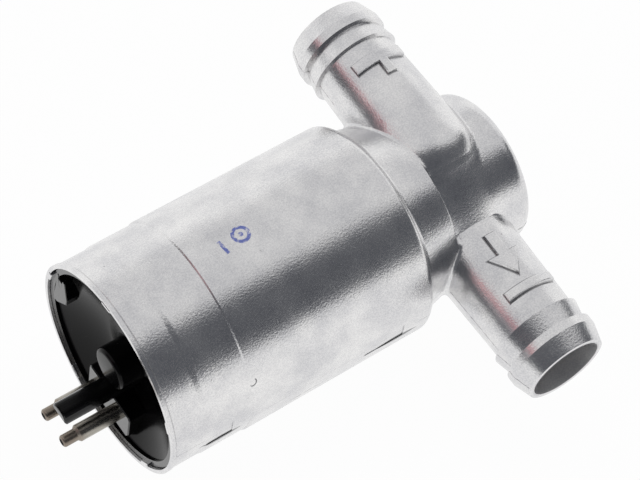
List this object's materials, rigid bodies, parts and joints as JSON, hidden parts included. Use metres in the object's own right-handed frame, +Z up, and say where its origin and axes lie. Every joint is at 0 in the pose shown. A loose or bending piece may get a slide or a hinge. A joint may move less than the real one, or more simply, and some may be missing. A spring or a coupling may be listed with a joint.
{
  "type": "idle air control valve",
  "caption": "Rotary idle air control valve: round die-cast can with a valve head, opposed barbed hose nozzles and a recessed plug end with round pins.",
  "frame": {"origin": "on the can's axis, at the middle of the clamp band", "axes": "+X along the can towards the valve head, +Y along the inlet nozzle, +Z up, square to the parting plane"},
  "size_m": [0.1126, 0.0918, 0.05],
  "materials": {
    "cast_aluminium": "as-cast, satin",
    "black_plastic": "moulded, semi-gloss",
    "tinned_brass": "tin plated",
    "black_rubber": "matt",
    "soft_iron": "machined",
    "bobbin_plastic": "moulded",
    "copper_wire": "enamelled wire",
    "steel": "ground",
    "spring_steel": "blued",
    "cage_brass": "pressed",
    "magnet": "sintered",
    "slide_aluminium": "machined"
  },
  "bodies": {
    "housing": {"valve_housing": "cast_aluminium", "connector_cap": "black_plastic", "cap_seal_ring": "black_rubber", "terminal_pin_left": "tinned_brass", "terminal_pin_right": "tinned_brass", "flux_ring": "soft_iron", "pole_shoe_upper": "soft_iron", "pole_shoe_lower": "soft_iron", "coil_bobbin_upper": "bobbin_plastic", "coil_bobbin_lower": "bobbin_plastic", "coil_winding_upper": "copper_wire", "coil_winding_lower": "copper_wire", "bearing_plate": "cast_aluminium", "plate_screws": "steel", "stop_pin": "steel", "spring_post": "steel", "bearing_circlip": "spring_steel", "shaft_seal": "black_rubber", "front_bearing_outer_ring": "steel", "rear_bearing_outer_ring": "steel", "return_spring": "spring_steel"},
    "rotor": {"rotor_shaft": "steel", "rotor_magnet": "magnet", "spring_collar": "steel", "stop_arm": "steel", "rotary_slide": "slide_aluminium", "slide_screw": "steel", "front_bearing_inner_ring": "steel", "rear_bearing_inner_ring": "steel"},
    "front_ball_set": {"front_bearing_balls": "steel", "front_bearing_cage": "cage_brass"},
    "rear_ball_set": {"rear_bearing_balls": "steel", "rear_bearing_cage": "cage_brass"}
  },
  "joints": [
    {"name": "rotor_turn", "type": "hinge", "parent": "housing", "child": "rotor", "pos_m": [0, 0, 0], "axis": [1, 0, 0], "range_deg": [-45, 30], "stiffness_Nm_per_rad": 0.02},
    {"name": "front_balls_turn", "type": "hinge", "parent": "housing", "child": "front_ball_set", "pos_m": [0.01825, 0, 0], "axis": [1, 0, 0], "range_deg": [-18, 12]},
    {"name": "rear_balls_turn", "type": "hinge", "parent": "housing", "child": "rear_ball_set", "pos_m": [-0.03375, 0, 0], "axis": [1, 0, 0], "range_deg": [-18, 12]}
  ],
  "couplings": [
    {"joint": "front_balls_turn", "follows": "rotor_turn", "ratio": 0.364},
    {"joint": "rear_balls_turn", "follows": "rotor_turn", "ratio": 0.3632}
  ]
}
